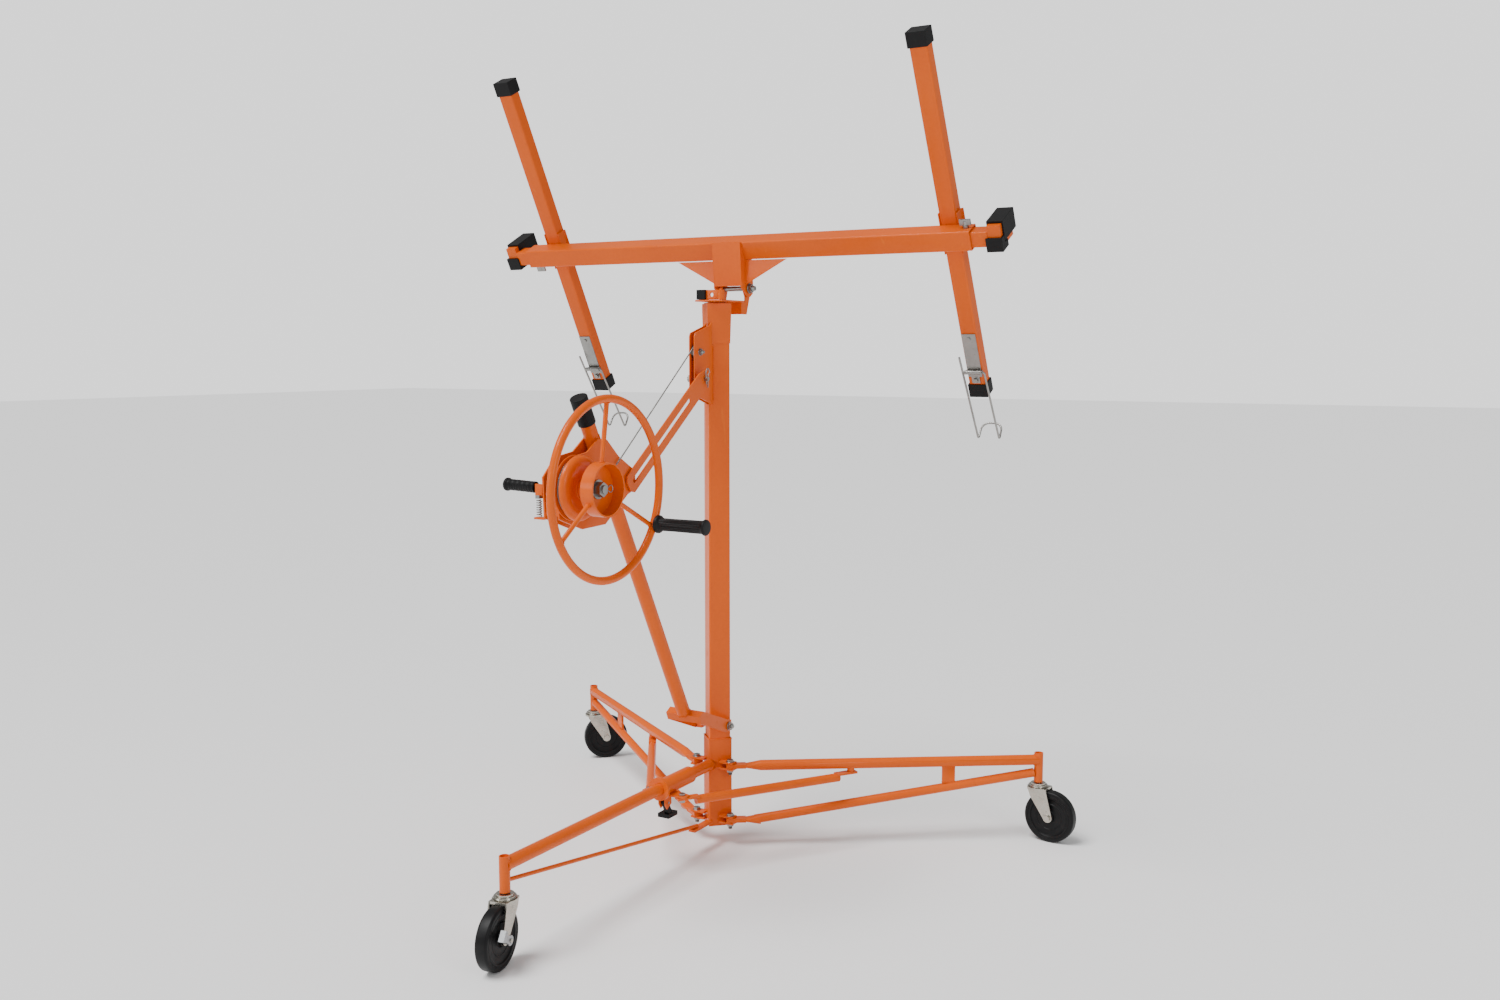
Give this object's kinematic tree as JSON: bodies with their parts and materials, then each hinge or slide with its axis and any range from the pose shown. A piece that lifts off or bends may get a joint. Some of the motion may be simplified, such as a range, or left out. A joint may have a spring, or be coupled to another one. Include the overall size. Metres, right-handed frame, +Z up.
{
  "type": "drywall lift",
  "caption": "Folding tripod lift on casters: a cable winch raises a telescoping square mast with a tilting cradle for panels.",
  "frame": {"origin": "on the floor, directly under the axis of the mast", "axes": "+Z up along the mast, -Y towards the main leg and the winch, X along the cradle's crossbar and the hand wheel's shaft"},
  "size_m": [1.4863, 1.3799, 1.8755],
  "materials": {
    "orange_paint": "glossy powder coat",
    "zinc_steel": "zinc plated",
    "nickel_fork": "bright plated pressed steel",
    "wheel_rubber": "hard black rubber",
    "black_cap": "matt moulded rubber",
    "grip_rubber": "ribbed soft rubber",
    "steel_cable": "twisted galvanised wire rope"
  },
  "bodies": {
    "base": {"mast_socket": "orange_paint", "mast_outer": "orange_paint", "main_leg": "orange_paint", "main_leg_brace": "orange_paint", "base_bolts": "zinc_steel", "pulley_bracket": "orange_paint", "strut_hitch_pin": "zinc_steel", "lift_cable": "steel_cable"},
    "leg_right": {"leg_tube_right": "orange_paint", "leg_brace_right": "orange_paint"},
    "leg_left": {"leg_tube_left": "orange_paint", "leg_brace_left": "orange_paint"},
    "collar": {"slide_collar": "orange_paint", "collar_bolts": "zinc_steel"},
    "link_right": {"fold_link_right": "orange_paint"},
    "link_left": {"fold_link_left": "orange_paint"},
    "pedal": {"foot_pedal": "black_cap"},
    "caster_front": {"caster_fork_front": "nickel_fork"},
    "caster_right": {"caster_fork_right": "nickel_fork"},
    "caster_left": {"caster_fork_left": "nickel_fork"},
    "roller_front": {"caster_wheel_front": "wheel_rubber"},
    "roller_right": {"caster_wheel_right": "wheel_rubber"},
    "roller_left": {"caster_wheel_left": "wheel_rubber"},
    "foot_brake": {"caster_brake": "zinc_steel"},
    "winch": {"winch_tube": "orange_paint", "winch_tube_cap": "black_cap", "winch_yoke": "orange_paint", "winch_plates": "orange_paint", "brake_spring": "zinc_steel"},
    "strut": {"strut_bar": "orange_paint"},
    "hand_wheel": {"hand_wheel_rim": "orange_paint", "hand_wheel_hub": "orange_paint", "winch_shaft": "zinc_steel", "cable_drum": "orange_paint", "ratchet_gear": "zinc_steel"},
    "grip": {"wheel_grip": "grip_rubber"},
    "brake_handle": {"brake_lever": "zinc_steel", "brake_grip": "grip_rubber"},
    "pulley": {"cable_pulley": "zinc_steel"},
    "middle_stage": {"mast_middle": "orange_paint"},
    "top_stage": {"mast_inner": "orange_paint", "head_saddle": "orange_paint", "tilt_bolt": "zinc_steel"},
    "latch": {"tilt_latch": "orange_paint", "latch_knob": "black_cap"},
    "cradle": {"crossbar": "orange_paint", "tilt_bracket": "orange_paint", "arm_brackets": "orange_paint", "arm_caps": "black_cap", "hook_clips": "zinc_steel", "arm_left": "orange_paint", "arm_right": "orange_paint"},
    "extension_arm_right": {"extension_right": "orange_paint", "extension_pads_right": "black_cap"},
    "extension_arm_left": {"extension_left": "orange_paint", "extension_pads_left": "black_cap"},
    "clamp_right": {"clamp_screw_right": "zinc_steel"},
    "clamp_left": {"clamp_screw_left": "zinc_steel"},
    "hook_right": {"board_hook_right": "zinc_steel"},
    "hook_left": {"board_hook_left": "zinc_steel"}
  },
  "joints": [
    {"name": "leg_right_fold", "type": "hinge", "parent": "base", "child": "leg_right", "pos_m": [0.048, -0.02, 0.2], "axis": [0, 0, -1], "range_deg": [0, 104]},
    {"name": "leg_left_fold", "type": "hinge", "parent": "base", "child": "leg_left", "pos_m": [-0.048, -0.02, 0.2], "axis": [0, 0, 1], "range_deg": [0, 104]},
    {"name": "collar_slide", "type": "slide", "parent": "base", "child": "collar", "axis": [0, -1, 0], "range_m": [0, 0.50435]},
    {"name": "link_right_turn", "type": "hinge", "parent": "collar", "child": "link_right", "pos_m": [0.045, -0.23, 0.178], "axis": [0, 0, 1], "range_deg": [0, 20.07]},
    {"name": "link_left_turn", "type": "hinge", "parent": "collar", "child": "link_left", "pos_m": [-0.045, -0.23, 0.178], "axis": [0, 0, -1], "range_deg": [0, 20.07]},
    {"name": "pedal_press", "type": "hinge", "parent": "collar", "child": "pedal", "pos_m": [-0.017, -0.208, 0.152], "axis": [-1, 0, 0], "range_deg": [0, 14], "stiffness_Nm_per_rad": 2, "springref_deg": -5.73},
    {"name": "swivel_front", "type": "hinge", "parent": "base", "child": "caster_front", "pos_m": [0, -0.8, 0.15], "axis": [0, 0, 1], "continuous": true},
    {"name": "roll_front", "type": "hinge", "parent": "caster_front", "child": "roller_front", "pos_m": [0.0059, -0.83348, 0.0635], "axis": [0.9848, 0.1736, 0], "continuous": true},
    {"name": "brake_press", "type": "hinge", "parent": "caster_front", "child": "foot_brake", "pos_m": [0.03446, -0.82845, 0.0635], "axis": [0.9848, 0.1736, 0], "range_deg": [0, 35]},
    {"name": "swivel_right", "type": "hinge", "parent": "leg_right", "child": "caster_right", "pos_m": [0.67973, 0.4061, 0.15], "axis": [0, 0, 1], "continuous": true},
    {"name": "roll_right", "type": "hinge", "parent": "caster_right", "child": "roller_right", "pos_m": [0.7136, 0.40314, 0.0635], "axis": [0.0872, 0.9962, 0], "continuous": true},
    {"name": "swivel_left", "type": "hinge", "parent": "leg_left", "child": "caster_left", "pos_m": [-0.67973, 0.4061, 0.15], "axis": [0, 0, 1], "continuous": true},
    {"name": "roll_left", "type": "hinge", "parent": "caster_left", "child": "roller_left", "pos_m": [-0.65568, 0.43015, 0.0635], "axis": [-0.7071, 0.7071, 0], "continuous": true},
    {"name": "winch_fold", "type": "hinge", "parent": "base", "child": "winch", "pos_m": [0, -0.024, 0.3], "axis": [-1, 0, 0], "range_deg": [0, 20], "deforming": ["lift_cable"]},
    {"name": "strut_turn", "type": "hinge", "parent": "base", "child": "strut", "pos_m": [0.024, -0.095, 1.138], "axis": [1, 0, 0], "range_deg": [0, 31.92]},
    {"name": "wheel_turn", "type": "hinge", "parent": "winch", "child": "hand_wheel", "pos_m": [0, -0.594, 0.927], "axis": [-1, 0, 0], "range_deg": [0, 1004.31]},
    {"name": "grip_spin", "type": "hinge", "parent": "hand_wheel", "child": "grip", "pos_m": [0.17, -0.4333, 0.84156], "axis": [1, 0, 0], "continuous": true},
    {"name": "brake_lever_press", "type": "hinge", "parent": "winch", "child": "brake_handle", "pos_m": [-0.03, -0.626, 0.927], "axis": [0, -1, 0], "range_deg": [0, 18], "stiffness_Nm_per_rad": 2, "springref_deg": -6.88, "deforming": ["brake_spring"]},
    {"name": "pulley_spin", "type": "hinge", "parent": "base", "child": "pulley", "pos_m": [0, -0.086, 1.2], "axis": [1, 0, 0], "continuous": true},
    {"name": "mast_middle_slide", "type": "slide", "parent": "base", "child": "middle_stage", "axis": [0, 0, 1], "range_m": [0, 1]},
    {"name": "mast_inner_slide", "type": "slide", "parent": "middle_stage", "child": "top_stage", "axis": [0, 0, 1], "range_m": [0, 1]},
    {"name": "cradle_tilt", "type": "hinge", "parent": "top_stage", "child": "cradle", "pos_m": [0, 0.085, 1.352], "axis": [1, 0, 0], "range_deg": [0, 62]},
    {"name": "latch_turn", "type": "hinge", "parent": "top_stage", "child": "latch", "pos_m": [0.032, -0.032, 1.335], "axis": [0, 0, 1], "range_deg": [0, 60]},
    {"name": "extension_right_slide", "type": "slide", "parent": "cradle", "child": "extension_arm_right", "axis": [1, 0, 0], "range_m": [0, 0.2]},
    {"name": "clamp_right_turn", "type": "hinge", "parent": "cradle", "child": "clamp_right", "pos_m": [0.6, 0.05957, 1.4809], "axis": [0, 0.4695, -0.8829], "continuous": true},
    {"name": "hook_right_swing", "type": "hinge", "parent": "cradle", "child": "hook_right", "pos_m": [0.552, 0.24898, 1.15237], "axis": [-1, 0, 0], "range_deg": [0, 60]},
    {"name": "extension_left_slide", "type": "slide", "parent": "cradle", "child": "extension_arm_left", "axis": [-1, 0, 0], "range_m": [0, 0.2]},
    {"name": "clamp_left_turn", "type": "hinge", "parent": "cradle", "child": "clamp_left", "pos_m": [-0.6, 0.09243, 1.4191], "axis": [0, 0.4695, -0.8829], "continuous": true},
    {"name": "hook_left_swing", "type": "hinge", "parent": "cradle", "child": "hook_left", "pos_m": [-0.552, 0.24898, 1.15237], "axis": [-1, 0, 0], "range_deg": [0, 60]}
  ],
  "couplings": [
    {"joint": "leg_left_fold", "follows": "leg_right_fold", "ratio": 1},
    {"joint": "collar_slide", "follows": "leg_right_fold", "m_per_rad": 0.27783},
    {"joint": "link_right_turn", "follows": "leg_right_fold", "ratio": 0.19291},
    {"joint": "link_left_turn", "follows": "leg_right_fold", "ratio": 0.19291},
    {"joint": "strut_turn", "follows": "winch_fold", "ratio": 1.5958},
    {"joint": "mast_middle_slide", "follows": "wheel_turn", "m_per_rad": 0.057044},
    {"joint": "mast_inner_slide", "follows": "wheel_turn", "m_per_rad": 0.057044},
    {"joint": "pulley_spin", "follows": "wheel_turn", "ratio": 3.0755}
  ]
}
